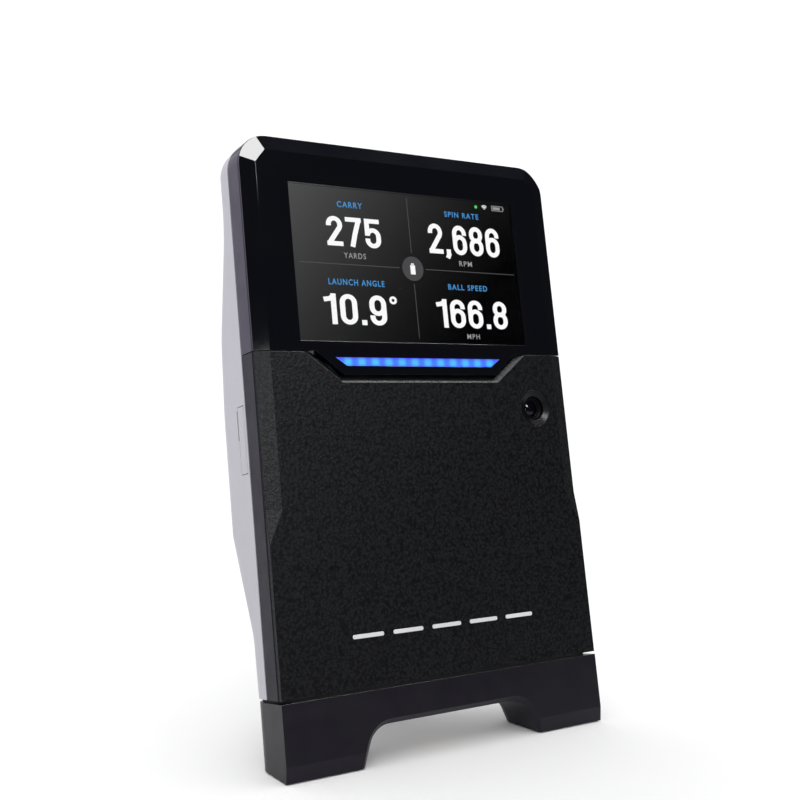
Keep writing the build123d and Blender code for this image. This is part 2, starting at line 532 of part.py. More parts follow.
def kickstand_leg():
    slope = (BACK_FLAT - 29.0) / 40.0
    knee_y = HINGE_Y - slope * (HINGE_Z - LEG_KNEE_Z)
    centre = FilletPolyline((HINGE_Y, HINGE_Z), (knee_y, LEG_KNEE_Z), (TOE_Y, TOE_Z), radius=14)
    strip = side_prism(offset(centre, LEG_THICK / 2, kind=Kind.ARC), -LUG_IN + 0.75, LUG_IN - 0.75)
    low_trim = rounded_block(-LUG_IN + 0.75, LUG_IN - 0.75, 0, 80, TOE_Z - 2, HINGE_Z + 5, 4, Axis.Y)
    strip &= low_trim + block(-LUG_IN, LUG_IN, 0, 80, HINGE_Z - 20, HINGE_Z + 10)
    strip += rod(KNUCKLE, -LUG_IN + 0.75, LUG_IN - 0.75, Axis.X, (HINGE_Y, HINGE_Z))
    strip -= rod(1.55, -40, 40, Axis.X, (HINGE_Y, HINGE_Z))
    return strip


def build_kickstand():
    leg = kickstand_leg()
    toe = rod(TOE_RADIUS, -21, 21, Axis.X, (TOE_Y, TOE_Z))
    sleeve = fillet(toe.edges(), 0.8) + block(-21, 21, TOE_Y - 2.4, TOE_Y + 2.4, TOE_Z, TOE_Z + 6)
    leg_cut = leg - block(-21.05, 21.05, 0, 80, TOE_Z - 5, TOE_Z - 0.0)
    add("kickstand_leg", deployed(leg_cut))
    add("kickstand_foot", deployed(sleeve - leg_cut))
    bracket = rounded_block(-LUG_OUT, LUG_OUT, BACK_FLAT + 0.02, BACK_FLAT + 2.0, 71.2, 85, 3, Axis.Y)
    for side in (-1, 1):
        x0, x1 = sorted((side * LUG_IN, side * LUG_OUT))
        lug = rod(KNUCKLE, x0, x1, Axis.X, (HINGE_Y, HINGE_Z))
        lug += side_prism(polygon([(BACK_FLAT + 0.02, HINGE_Z + 14), (BACK_FLAT + 0.02, HINGE_Z),
                                   (HINGE_Y + KNUCKLE, HINGE_Z), (BACK_FLAT + 2.6, HINGE_Z + 14)]), x0, x1)
        bracket += lug
    bracket -= rod(1.51, -40, 40, Axis.X, (HINGE_Y, HINGE_Z))
    for x in (-BRACKET_X, BRACKET_X):
        bracket -= rod(1.6, 40, 50, Axis.Y, (x, BRACKET_Z))
    add("kickstand_bracket", bracket)
    add("kickstand_pin", rod(1.5, -LUG_OUT, LUG_OUT, Axis.X, (HINGE_Y, HINGE_Z)))
    washers = []
    for side in (-1, 1):
        x0, x1 = sorted((side * (LUG_IN - 0.7), side * (LUG_IN - 0.02)))
        washer = rod(3.4, x0, x1, Axis.X, (HINGE_Y, HINGE_Z))
        washers.append(washer - rod(1.51, x0 - 1, x1 + 1, Axis.X, (HINGE_Y, HINGE_Z)))
    add("kickstand_washers", *washers)
    screw = TO_BACK * cap_screw(2.8, 1.5, 1.5, 7.5)
    add("kickstand_screws", *[Pos(x, BACK_FLAT + 2.0, BRACKET_Z) * screw for x in (-BRACKET_X, BRACKET_X)])


# ---------------------------------------------------------------- assembly
def main():
    build_front()
    build_rails()
    build_shell()
    build_chassis()
    build_electronics()
    build_port_cover()
    build_button()
    build_base()
    build_kickstand()
    leaned = {name: Rot(-LEAN, 0, 0) * shape for name, shape in pieces.items()}
    boxes = [shape.bounding_box() for shape in leaned.values()]
    low = [min(getattr(b.min, a) for b in boxes) for a in "XYZ"]
    high = [max(getattr(b.max, a) for b in boxes) for a in "XYZ"]
    shift = Pos(-(low[0] + high[0]) / 2, -(low[1] + high[1]) / 2, -low[2])
    os.makedirs("parts", exist_ok=True)
    for name, shape in leaned.items():
        export_step(shift * shape, f"parts/{name}.step")
    place = shift * Rot(-LEAN, 0, 0)
    marks = [("body origin", (0, 0, 0)), ("kickstand hinge", (0, HINGE_Y, HINGE_Z)),
             ("port cover pin", (DOOR_PIN_X, DOOR_PIN_Y, DOOR[2])),
             ("tripod mouth", (0, TRIPOD_Y, ARCH_TOP_Z)), ("left foot", (-FOOT_X, FOOT_Y, 0))]
    for label, point in marks:
        print(label, [round(v, 3) for v in (place * Pos(*point)).position])
    print("kickstand swing", round(swing_angle(), 2), "size", [round(h - l, 2) for l, h in zip(low, high)])


main()
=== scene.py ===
"""Looks for the launch monitor: materials, what its display shows, studio light and camera."""
import math

import bmesh
import bpy
from mathutils import Matrix, Vector


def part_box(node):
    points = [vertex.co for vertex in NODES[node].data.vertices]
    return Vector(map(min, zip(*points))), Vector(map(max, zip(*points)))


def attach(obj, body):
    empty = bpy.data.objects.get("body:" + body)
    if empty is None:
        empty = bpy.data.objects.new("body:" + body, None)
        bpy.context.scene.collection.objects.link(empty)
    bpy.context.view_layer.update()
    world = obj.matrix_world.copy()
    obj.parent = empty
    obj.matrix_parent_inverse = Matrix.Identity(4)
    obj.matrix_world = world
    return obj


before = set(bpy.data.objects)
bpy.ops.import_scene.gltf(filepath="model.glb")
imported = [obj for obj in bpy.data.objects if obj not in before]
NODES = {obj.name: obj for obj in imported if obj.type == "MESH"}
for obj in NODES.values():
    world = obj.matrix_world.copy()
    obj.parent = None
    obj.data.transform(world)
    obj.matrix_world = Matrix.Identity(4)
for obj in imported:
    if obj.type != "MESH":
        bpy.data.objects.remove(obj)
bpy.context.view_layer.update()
MM = 0.001

# ---------------------------------------------------------------- the body's own frame
LEAN = math.radians(9.2)                 # the face leans back by this much
GLASS_LOW, GLASS_HIGH = 136.28, 201.12   # the display glass, from the base seam up, in millimetres
_low, _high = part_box("display_glass")
ORIGIN = Vector((0, _low.y - GLASS_LOW * MM * math.sin(LEAN), _high.z - GLASS_HIGH * MM * math.cos(LEAN)))
BODY = Matrix.Translation(ORIGIN) @ Matrix.Rotation(-LEAN, 4, "X")
FACE = BODY @ Matrix.Rotation(math.radians(90), 4, "X")   # x right, y up the face, z out of it

# millimetres in the body's own frame
SCREEN_CORNER = (-54, 1.5, 199.5)           # the display face's upper left corner
LED_PITCH = 6.4
BAR_DEPTH, BAR_LOW, BAR_HIGH = 0.2, 126.3, 129.8      # the light bar's front face


def place(x, y, z):
    """A point given in the body's own frame, in millimetres, as a point in the row frame."""
    return BODY @ Vector((x * MM, y * MM, z * MM))


# ---------------------------------------------------------------- node helpers
class Paint:
    """A material under construction: one Principled shader and the nodes that feed it."""

    def __init__(self, name, colour, roughness, metallic=0.0, specular=0.5, coat=0.0, coat_roughness=0.05):
        self.material = bpy.data.materials.new(name)
        self.material.use_nodes = True
        self.tree = self.material.node_tree
        self.shader = self.tree.nodes["Principled BSDF"]
        self.set("Base Color", (*colour, 1))
        self.set("Roughness", roughness)
        self.set("Metallic", metallic)
        self.set("Specular IOR Level", specular)
        self.set("Coat Weight", coat)
        self.set("Coat Roughness", coat_roughness)
        self.colour, self.roughness = colour, roughness
        self.coordinates = self.node("ShaderNodeTexCoord").outputs["Object"]
        self.normal = None

    def set(self, socket, value):
        self.shader.inputs[socket].default_value = value

    def node(self, kind, **settings):
        made = self.tree.nodes.new(kind)
        for key, value in settings.items():
            setattr(made, key, value)
        return made

    def link(self, start, end):
        self.tree.links.new(start, end)

    def noise(self, size_mm, detail=2.0, stretch=(1, 1, 1)):
        mapping = self.node("ShaderNodeMapping")
        mapping.inputs["Scale"].default_value = stretch
        self.link(self.coordinates, mapping.inputs["Vector"])
        noise = self.node("ShaderNodeTexNoise")
        noise.inputs["Scale"].default_value = 1 / (size_mm * MM)
        noise.inputs["Detail"].default_value = detail
        self.link(mapping.outputs["Vector"], noise.inputs["Vector"])
        return noise.outputs["Fac"]

    def cells(self, size_mm, feature="F1", randomness=1.0):
        voronoi = self.node("ShaderNodeTexVoronoi", feature=feature)
        voronoi.inputs["Scale"].default_value = 1 / (size_mm * MM)
        voronoi.inputs["Randomness"].default_value = randomness
        self.link(self.coordinates, voronoi.inputs["Vector"])
        return voronoi.outputs["Distance"]

    def spread(self, source, low, high, from_low=0.3, from_high=0.7):
        """Maps a noise to a range of values."""
        mapper = self.node("ShaderNodeMapRange")
        limits = {"From Min": from_low, "From Max": from_high, "To Min": low, "To Max": high}
        for socket, value in limits.items():
            mapper.inputs[socket].default_value = value
        self.link(source, mapper.inputs["Value"])
        return mapper.outputs["Result"]

    def mix_factor(self, first, second):
        """The mean of two factors."""
        mean = self.node("ShaderNodeMath", operation="ADD")
        half = self.node("ShaderNodeMath", operation="MULTIPLY")
        half.inputs[1].default_value = 0.5
        self.link(first, mean.inputs[0])
        self.link(second, mean.inputs[1])
        self.link(mean.outputs["Value"], half.inputs[0])
        return half.outputs["Value"]

    def ramp(self, source, stops):
        """Maps a factor to colours: stops are (place, colour)."""
        ramp = self.node("ShaderNodeValToRGB")
        while len(ramp.color_ramp.elements) < len(stops):
            ramp.color_ramp.elements.new(0.5)
        for element, (at, colour) in zip(ramp.color_ramp.elements, stops):
            element.position = at
            element.color = (*colour, 1)
        self.link(source, ramp.inputs["Fac"])
        return ramp.outputs["Color"]

    def vary_colour(self, size_mm, amount, detail=3.0):
        """Lightens and darkens the base colour in soft patches."""
        low = tuple(c * (1 - amount) for c in self.colour)
        high = tuple(min(1, c * (1 + amount)) for c in self.colour)
        patches = self.ramp(self.noise(size_mm, detail), [(0.3, low), (0.7, high)])
        self.link(patches, self.shader.inputs["Base Color"])
        return self

    def vary_roughness(self, size_mm, amount, detail=3.0):
        spread = self.spread(self.noise(size_mm, detail), self.roughness - amount, self.roughness + amount)
        self.link(spread, self.shader.inputs["Roughness"])
        return self

    def bump(self, height, strength, depth_mm):
        bump = self.node("ShaderNodeBump")
        bump.inputs["Strength"].default_value = strength
        bump.inputs["Distance"].default_value = depth_mm * MM
        self.link(height, bump.inputs["Height"])
        if self.normal is not None:
            self.link(self.normal, bump.inputs["Normal"])
        self.normal = bump.outputs["Normal"]
        self.link(self.normal, self.shader.inputs["Normal"])
        return self

    def soft_edges(self, radius_mm):
        """Rounds the look of sharp moulded edges, so that they catch the light."""
        bevel = self.node("ShaderNodeBevel", samples=6)
        bevel.inputs["Radius"].default_value = radius_mm * MM
        self.normal = bevel.outputs["Normal"]
        self.link(self.normal, self.shader.inputs["Normal"])
        return self


def linear(value):
    """An 8-bit display value as linear light."""
    v = value / 255
    return v / 12.92 if v <= 0.04045 else ((v + 0.055) / 1.055) ** 2.4


# ---------------------------------------------------------------- materials
def gloss_black():
    p = Paint("gloss_black", (0.0026, 0.0028, 0.0046), 0.07, specular=0.36)
    p.soft_edges(0.10)
    p.vary_roughness(30, 0.02)
    return p.bump(p.noise(14, 2), 0.02, 0.01)


def textured_black():
    """Moulded leather grain: small rounded cells with fine creases between them. Its colour is partly fine
    random tone and partly painted shade in the creases with a painted sheen on the cell tops.
    """
    p = Paint("textured_black", (0.0040, 0.0042, 0.0056), 0.42, specular=0.10)
    p.soft_edges(0.3)
    cells = p.cells(1.15, "SMOOTH_F1")
    fine = p.noise(0.75, 2)
    grain_and_crease_shade = p.mix_factor(cells, fine)
    # painted shade: the creases between the cells are coloured dark and the cell tops light as a painted
    # sheen; the fine noise mixed in is random tone
    dark, light = (0.0004, 0.0007, 0.0015), (0.0084, 0.0090, 0.0116)
    p.link(p.ramp(grain_and_crease_shade, [(0.34, light), (0.56, dark)]), p.shader.inputs["Base Color"])
    p.link(p.spread(fine, 0.33, 0.50), p.shader.inputs["Roughness"])
    p.bump(p.noise(3.4, 2), 0.35, 0.10)
    return p.bump(grain_and_crease_shade, 0.95, 0.20)


def frame_grey(name, colour, roughness, specular=0.5):
    """Satin plastic with a faint violet cast."""
    p = Paint(name, colour, roughness, specular=specular)
    p.set("Specular Tint", (0.93, 0.88, 1.0, 1))
    p.soft_edges(0.3)
    p.vary_colour(22, 0.06)
    p.vary_roughness(9, 0.05)
    return p.bump(p.noise(0.5, 3), 0.12, 0.02)


def shell_silver():
    """Painted silver with a fine metallic fleck."""
    p = Paint("shell_silver", (0.402, 0.397, 0.434), 0.40, specular=0.42)
    p.soft_edges(0.3)
    p.vary_colour(0.55, 0.035, 2)
    p.vary_roughness(12, 0.05)
    p.bump(p.noise(7, 2), 0.05, 0.05)
    return p.bump(p.noise(0.45, 3), 0.14, 0.02)


def rubber():
    p = Paint("black_rubber", (0.012, 0.012, 0.013), 0.78, specular=0.3)
    p.vary_colour(6, 0.25)
    return p.bump(p.noise(0.35, 4), 0.35, 0.05)


def clear_glass():
    """A thin bonded cover glass: hardly refracts, but keeps a polished front."""
    p = Paint("display_glass", (1, 1, 1), 0.015, specular=0.5, coat=0.12, coat_roughness=0.02)
    p.set("Transmission Weight", 1.0)
    p.set("IOR", 1.08)
    return p.bump(p.noise(60, 1), 0.01, 0.01)


def lens_glass():
    """A nearly black coated lens with a hard glint."""
    p = Paint("coated_lens", (0.0022, 0.0024, 0.0050), 0.06, specular=0.2)
    return p.vary_colour(3, 0.3, 1).bump(p.noise(10, 1), 0.01, 0.01)


def screen_off():
    """The display's face: a soft grey glow that fades from its upper left corner."""
    p = Paint("screen_face", (0.0006, 0.0006, 0.0008), 0.4, specular=0.0)
    corner_level, lost_right, lost_down = 77.0, 0.6, 0.52      # 8-bit levels, and levels lost per millimetre
    steps = 8
    corner = place(*SCREEN_CORNER)
    along = (BODY.to_3x3() @ Vector((lost_right, 0, -lost_down))) / MM / corner_level
    offset = p.node("ShaderNodeVectorMath", operation="SUBTRACT")
    offset.inputs[1].default_value = corner
    p.link(p.coordinates, offset.inputs[0])
    dot = p.node("ShaderNodeVectorMath", operation="DOT_PRODUCT")
    dot.inputs[1].default_value = along
    p.link(offset.outputs["Vector"], dot.inputs[0])
    stops = [(i / steps, (linear(corner_level * (1 - i / steps)),) * 3) for i in range(steps + 1)]
    p.link(p.ramp(dot.outputs["Value"], stops), p.shader.inputs["Emission Color"])
    p.set("Emission Strength", 1.0)
    return p


def light_bar():
    """A blue diffuser with a row of brighter spots where the LEDs are behind it, and a violet upper edge."""
    p = Paint("light_bar", (0.02, 0.05, 0.4), 0.35, specular=0.2)
    split = p.node("ShaderNodeSeparateXYZ")
    p.link(p.coordinates, split.inputs["Vector"])
    wave = p.node("ShaderNodeMath", operation="MULTIPLY")
    wave.inputs[1].default_value = 2 * math.pi / (LED_PITCH * MM)
    p.link(split.outputs["X"], wave.inputs[0])
    turned = p.node("ShaderNodeMath", operation="COSINE")
    p.link(wave.outputs["Value"], turned.inputs[0])
    spots = p.spread(turned.outputs["Value"], 1, 0, -1, 1)     # the LEDs stand half a pitch off the middle
    low, high = (place(0, BAR_DEPTH, z).z for z in (BAR_LOW, BAR_HIGH))
    up = p.spread(split.outputs["Z"], 0, 1, low, high)
    deep_blue, cyan = (0.035, 0.155, 0.86), (0.05, 0.50, 1.0)
    dim, full, violet = (0.25, 0.30, 0.8), (1, 1, 1), (1.5, 0.22, 0.95)
    along = p.ramp(spots, [(0.15, deep_blue), (0.85, cyan)])
    edge = p.ramp(up, [(0.0, dim), (0.25, full), (0.62, full), (1.0, violet)])
    mix = p.node("ShaderNodeMix", data_type="RGBA", blend_type="MULTIPLY")
    mix.inputs[0].default_value = 1.0
    p.link(along, mix.inputs[6])
    p.link(edge, mix.inputs[7])
    p.link(mix.outputs[2], p.shader.inputs["Emission Color"])
    p.set("Emission Strength", 0.95)
    return p


def metal(name, colour, roughness, brushed=False):
    p = Paint(name, colour, roughness, metallic=1.0)
    p.soft_edges(0.12)
    p.vary_roughness(3, 0.06)
    grain = p.noise(0.4, 3, stretch=(0.05, 1, 1) if brushed else (1, 1, 1))
    return p.bump(grain, 0.15, 0.01)


def dark_alloy():
    p = Paint("dark_alloy", (0.055, 0.055, 0.062), 0.42, metallic=0.85)
    p.soft_edges(0.3)
    p.vary_colour(8, 0.1)
    return p.bump(p.noise(0.28, 3), 0.25, 0.02)


def circuit_board():
    p = Paint("circuit_board", (0.012, 0.075, 0.035), 0.35, specular=0.5)
    tracks = p.cells(2.2, "DISTANCE_TO_EDGE", 0.6)
    copper_edge, mask = (0.02, 0.12, 0.055), (0.010, 0.065, 0.03)
    p.link(p.ramp(tracks, [(0.05, copper_edge), (0.12, mask)]), p.shader.inputs["Base Color"])
    return p.bump(tracks, 0.2, 0.02)


def moulded(name, colour, roughness, specular=0.4):
    p = Paint(name, colour, roughness, specular=specular)
    p.soft_edges(0.2)
    p.vary_colour(10, 0.12)
    return p.bump(p.noise(0.5, 3), 0.15, 0.02)


def glowing(name, colour, strength):
    """A lit mark on the screen: the shader's own colour with a slight unevenness, as real pixels have."""
    p = Paint(name, (0, 0, 0), 0.5, specular=0.0)
    low = tuple(c * 0.94 for c in colour)
    p.link(p.ramp(p.noise(1.2, 1), [(0.3, low), (0.7, colour)]), p.shader.inputs["Emission Color"])
    p.set("Emission Strength", strength)
    return p


PAINTS = {
    "gloss_black": gloss_black(),
    "textured_black": textured_black(),
    "upper_rail": frame_grey("upper_rail_grey", (0.022, 0.0185, 0.036), 0.40, 0.30),
    "lower_rail": frame_grey("lower_rail_grey", (0.0040, 0.0034, 0.0085), 0.42, 0.17),
    "base_black": frame_grey("base_black", (0.0020, 0.0016, 0.0050), 0.34, 0.27),
    "shell_silver": shell_silver(),
    "rubber": rubber(),
    "glass": clear_glass(),
    "lens": lens_glass(),
    "screen": screen_off(),
    "light_bar": light_bar(),
    "steel": metal("zinc_steel", (0.5, 0.5, 0.51), 0.32),
    "dark_steel": metal("black_oxide_steel", (0.05, 0.05, 0.055), 0.4),
    "pale_metal": frame_grey("silver_inlay", (0.62, 0.62, 0.63), 0.35),
    "brass": metal("brass", (0.78, 0.55, 0.24), 0.28),
    "alloy": metal("bare_alloy", (0.7, 0.7, 0.72), 0.35, brushed=True),
    "gold": metal("gold_plate", (0.85, 0.6, 0.25), 0.25),
    "dark_alloy": dark_alloy(),
    "board": circuit_board(),
    "wrap": moulded("cell_wrap", (0.03, 0.14, 0.32), 0.3),
    "satin_black": moulded("satin_black", (0.0026, 0.0027, 0.0038), 0.28, 0.12),
    "plastic": moulded("inner_plastic", (0.02, 0.02, 0.022), 0.5),
}
NODE_PAINTS = {
    "gloss_black": ["display_bezel"],
    "textured_black": ["radome_cover"],
    "upper_rail": ["upper_rail_left", "upper_rail_right"],
    "lower_rail": ["lower_rail_left", "lower_rail_right", "top_rail"],
    "base_black": ["base"],
    "shell_silver": ["rear_shell", "port_cover", "power_button"],
    "rubber": ["shell_gasket", "base_gasket", "foot_pads", "kickstand_foot"],
    "glass": ["display_glass"],
    "lens": ["camera_lens"],
    "screen": ["display_panel"],
    "light_bar": ["led_light_bar"],
    "steel": ["display_bracket", "radar_shield", "board_screws", "radar_screws", "usb_c_port", "card_slot",
              "kickstand_washers"],
    "dark_steel": ["rear_shell_screws", "base_screws", "kickstand_screws", "kickstand_pin", "port_cover_pin"],
    "pale_metal": ["front_trim_bars"],
    "brass": ["tripod_insert"],
    "alloy": ["heat_sink"],
    "gold": ["radar_patches", "wifi_antenna", "display_ribbon"],
    "dark_alloy": ["chassis", "kickstand_leg", "kickstand_bracket"],
    "board": ["led_board", "camera_board", "radar_board", "main_board", "io_board", "button_board"],
    "wrap": ["battery_cells"],
    "satin_black": ["camera_trim_ring", "camera_barrel"],
    "plastic": ["battery_holder", "speaker", "power_switch"],
}


def paint_nodes():
    painted = set()
    for paint, names in NODE_PAINTS.items():
        for name in names:
            mesh = NODES[name].data
            mesh.materials.clear()
            mesh.materials.append(PAINTS[paint].material)
            painted.add(name)
    missed = sorted(set(NODES) - painted)
    if missed:
        raise RuntimeError(f"nodes with no material: {missed}")


# ---------------------------------------------------------------- screen graphics
SCREEN_DEPTH = 1.47             # millimetres behind the face, just in front of the display panel
SCREEN_SHIFT = (0.75, 0.50)     # millimetres right and up, shared by everything the display shows
ICON_LIFT = 0.02                # millimetres that the centre icon stands off its disc
LINE = 0.3                      # width of the dividing lines and of the battery's outline
INK = {
    "white": glowing("screen_white", (1, 1, 1), 1.0),
    "blue": glowing("screen_blue", (0.08, 0.33, 0.72), 0.85),
    "grey": glowing("screen_grey", (0.36, 0.36, 0.37), 0.9),
    "line": glowing("screen_line", (0.085, 0.085, 0.088), 1.0),
    "disc": glowing("screen_disc", (0.07, 0.07, 0.075), 1.0),
    "green": glowing("screen_green", (0.10, 0.75, 0.12), 0.9),
}


def screen_piece(name, mesh, ink, depth=SCREEN_DEPTH):
    """Adds a flat mark drawn in face millimetres, at a depth behind the face, and lets it ride."""
    right, up = (step * MM for step in SCREEN_SHIFT)
    mesh.transform(FACE @ Matrix.Translation((right, up, -depth * MM)) @ Matrix.Scale(MM, 4))
    piece = bpy.data.objects.new(name, mesh)
    bpy.context.scene.collection.objects.link(piece)
    mesh.materials.clear()
    mesh.materials.append(INK[ink].material)
    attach(piece, "body")


def words(text, box, weight):
    """A mesh of a short text that fills a box (left, right, low, high) on the face, in millimetres."""
    curve = bpy.data.curves.new("words", "FONT")
    curve.body = text
    curve.offset = weight
    curve.space_character = 1.22
    curve.resolution_u = 4
    holder = bpy.data.objects.new("words", curve)
    bpy.context.scene.collection.objects.link(holder)
    bpy.context.view_layer.update()
    mesh = bpy.data.meshes.new_from_object(holder)
    bpy.data.objects.remove(holder)
    low = [min(v.co[i] for v in mesh.vertices) for i in (0, 1)]
    high = [max(v.co[i] for v in mesh.vertices) for i in (0, 1)]
    left, right, bottom, top = box
    sx, sy = (right - left) / (high[0] - low[0]), (top - bottom) / (high[1] - low[1])
    mesh.transform(Matrix.Translation((left, bottom, 0)) @ Matrix.Diagonal((sx, sy, 1, 1))
                   @ Matrix.Translation((-low[0], -low[1], 0)))
    return mesh


def polygons(outlines):
    """A mesh of flat outlines given in face millimetres, all facing out of the face."""
    mesh = bpy.data.meshes.new("outlines")
    made = bmesh.new()
    for outline in outlines:
        face = made.faces.new([made.verts.new((x, z, 0)) for x, z in outline])
        face.normal_update()
        if face.normal.z < 0:
            face.normal_flip()
    made.to_mesh(mesh)
    made.free()
    return mesh


def bar(x0, x1, z0, z1):
    return [(x0, z0), (x1, z0), (x1, z1), (x0, z1)]


def arc_points(x, z, radius, start, end, count):
    return [(x + radius * math.cos(a), z + radius * math.sin(a))
            for a in (math.radians(start + (end - start) * i / (count - 1)) for i in range(count))]


def disc(x, z, radius, count):
    return arc_points(x, z, radius, 0, 360 - 360 / count, count)


def ring(x, z, inner, outer, start, end, count=24):
    return arc_points(x, z, outer, start, end, count) + arc_points(x, z, inner, end, start, count)


def hollow_bar(x0, x1, z0, z1, line):
    """Four bars round a rectangle."""
    return [bar(x0, x1, z0, z0 + line), bar(x0, x1, z1 - line, z1),
            bar(x0, x0 + line, z0 + line, z1 - line), bar(x1 - line, x1, z0 + line, z1 - line)]


# Condensed numerals: each glyph is a set of centre lines in a cell one unit high, drawn with an oval pen.
CELL, PEN_X, PEN_Z = 0.60, 0.090, 0.076
LEFT, RIGHT, MIDDLE = PEN_X, CELL - PEN_X, CELL / 2
FOOT, TOP, WAIST = PEN_Z, 1 - PEN_Z, 0.525
BOWL = (RIGHT - LEFT) / 2


def bend(x, z, start, end, radius=BOWL, count=13):
    return arc_points(x, z, radius, start, end, count)


def loop(low, high, inset=0.0):
    """A closed bowl with round ends between two heights."""
    radius = BOWL - inset
    path = bend(MIDDLE, high - radius, 0, 180, radius) + bend(MIDDLE, low + radius, 180, 360, radius)
    return path + path[:2]


SIX = (bend(MIDDLE, TOP - BOWL, -12, 180) + bend(MIDDLE, FOOT + BOWL, 180, 360)
       + bend(MIDDLE, 0.605 - BOWL, 0, 180))
ONE_CELL, POINT_CELL, DEGREE_CELL = 0.42, 0.19, 0.30
ONE_STEM, POINT = ONE_CELL - PEN_X, [(0.095, 0), (0.095, 0.165)]
GLYPHS = {   # advance width, centre lines
    "0": (CELL, [loop(FOOT, TOP)]),
    "1": (ONE_CELL, [[(ONE_STEM, 1), (ONE_STEM, 0)], [(ONE_STEM, 0.985 - PEN_Z), (0.20, 0.83), (0.0, 0.80)]]),
    "2": (CELL, [bend(MIDDLE, TOP - BOWL, 192, -28) + [(LEFT + 0.05, 0.16), (LEFT, FOOT)],
                 [(0, FOOT), (CELL - 0.01, FOOT)]]),
    "5": (CELL, [[(LEFT - 0.02, TOP), (CELL - 0.03, TOP)], [(LEFT, 1), (LEFT, 0.42)],
                 bend(MIDDLE, 0.615 - BOWL, 168, 0) + bend(MIDDLE, FOOT + BOWL, 0, -190)]),
    "6": (CELL, [SIX]),
    "7": (CELL, [[(0, TOP), (CELL, TOP)],
                 [(RIGHT - 0.005, 1 - PEN_Z), (MIDDLE + 0.04, 0.45), (MIDDLE - 0.085, 0)]]),
    "8": (CELL, [loop(FOOT, WAIST + 0.01), loop(WAIST - 0.01, TOP, 0.012)]),
    "9": (CELL, [[(CELL - x, 1 - z) for x, z in SIX]]),
    ".": (POINT_CELL, [POINT]),
    ",": (POINT_CELL, [POINT, [(0.125, 0.04), (0.035, -0.13)]]),
    "°": (DEGREE_CELL, [bend(DEGREE_CELL / 2, 0.86, 0, 360, 0.095, 19)]),
}
NARROW_PEN = {"°": (0.042, 0.040)}
GAP = 0.12                                 # between two cells


def ribbon(path, pen_x, pen_z):
    """Quads along a centre line, as wide as an oval pen drawn along it."""
    sides = []
    for i, (x, z) in enumerate(path):
        x0, z0 = path[max(i - 1, 0)]
        x1, z1 = path[min(i + 1, len(path) - 1)]
        length = math.hypot(x1 - x0, z1 - z0)
        nx, nz = -(z1 - z0) / length, (x1 - x0) / length
        reach = math.hypot(pen_x * nx, pen_z * nz)
        dx, dz = pen_x ** 2 * nx / reach, pen_z ** 2 * nz / reach
        sides.append(((x + dx, z + dz), (x - dx, z - dz)))
    return [[a[0], b[0], b[1], a[1]] for a, b in zip(sides, sides[1:])]


def numerals(text, box):
    """A mesh of large condensed numerals that fill a box (left, right, low, high), in face millimetres."""
    left, right, low, high = box
    total = sum(GLYPHS[c][0] for c in text) + GAP * (len(text) - 1)
    wide, tall = (right - left) / total, high - low
    outlines, at = [], 0.0
    for character in text:
        advance, strokes = GLYPHS[character]
        for stroke in strokes:
            for quad in ribbon(stroke, *NARROW_PEN.get(character, (PEN_X, PEN_Z))):
                outlines.append([(left + (at + x) * wide, low + z * tall) for x, z in quad])
        at += advance + GAP
    return polygons(outlines)


READINGS = [   # name, numerals and their box, label and its box, unit and its box
    ("carry", "275", (-40.1, -14.4, 175.8, 188.3),
     "CARRY", (-34.2, -22.2, 192.3, 194.9), "YARDS", (-32.9, -22.5, 170.8, 173.2)),
    ("spin", "2,686", (9.6, 47.4, 175.6, 188.9),
     "SPIN RATE", (19.1, 37.4, 192.4, 194.9), "RPM", (24.5, 31.3, 170.6, 172.9)),
    ("angle", "10.9°", (-44.1, -9.2, 143.0, 155.7),
     "LAUNCH ANGLE", (-41.2, -14.7, 159.4, 162.0), "", None),
    ("speed", "166.8", (10.3, 47.7, 143.0, 155.5),
     "BALL SPEED", (17.4, 38.2, 159.8, 162.3), "MPH", (24.9, 31.6, 138.3, 140.5)),
]
LABEL_WEIGHT, UNIT_WEIGHT = 0.02, 0.01     # how much the thin lettering is swollen


def build_readings():
    for name, figures, box, label, label_box, unit, unit_box in READINGS:
        screen_piece(f"{name}_numerals", numerals(figures, box), "white")
        screen_piece(f"{name}_label", words(label, label_box, LABEL_WEIGHT), "blue")
        if unit:
            screen_piece(f"{name}_unit", words(unit, unit_box, UNIT_WEIGHT), "grey")


def build_dividers():
    """Two lines that leave a gap round a disc in the middle, and the icon on that disc."""
    cross = [bar(-53.5, -6.5, 168.0, 168.0 + LINE), bar(6.5, 54.0, 168.0, 168.0 + LINE),
             bar(0.0, LINE, 175.0, 199.0), bar(0.0, LINE, 138.0, 161.5)]
    screen_piece("screen_cross_lines", polygons(cross), "line")
    screen_piece("screen_centre_disc", polygons([disc(0.15, 168.1, 5.3, 36)]), "disc")
    icon = [bar(-1.1, 1.3, 165.6, 169.6), bar(-0.6, 0.8, 169.8, 170.4)]
    screen_piece("screen_centre_icon", polygons(icon), "white", SCREEN_DEPTH - ICON_LIFT)


def build_status_marks():
    """A green dot, a signal fan and a battery along the top right of the display."""
    screen_piece("screen_status_dot", polygons([disc(36.6, 198.3, 0.75, 24)]), "green")
    waves = [ring(41.2, 197.3, radius, radius + 0.42, 45, 135) for radius in (0.2, 0.95, 1.7)]
    screen_piece("screen_signal_icon", polygons(waves), "white")
    pole, charge = bar(51.7, 52.1, 198.0, 198.8), bar(45.9, 49.9, 197.8, 199.0)
    battery = hollow_bar(45.2, 51.6, 197.2, 199.6, LINE) + [pole, charge]
    screen_piece("screen_battery_icon", polygons(battery), "grey")


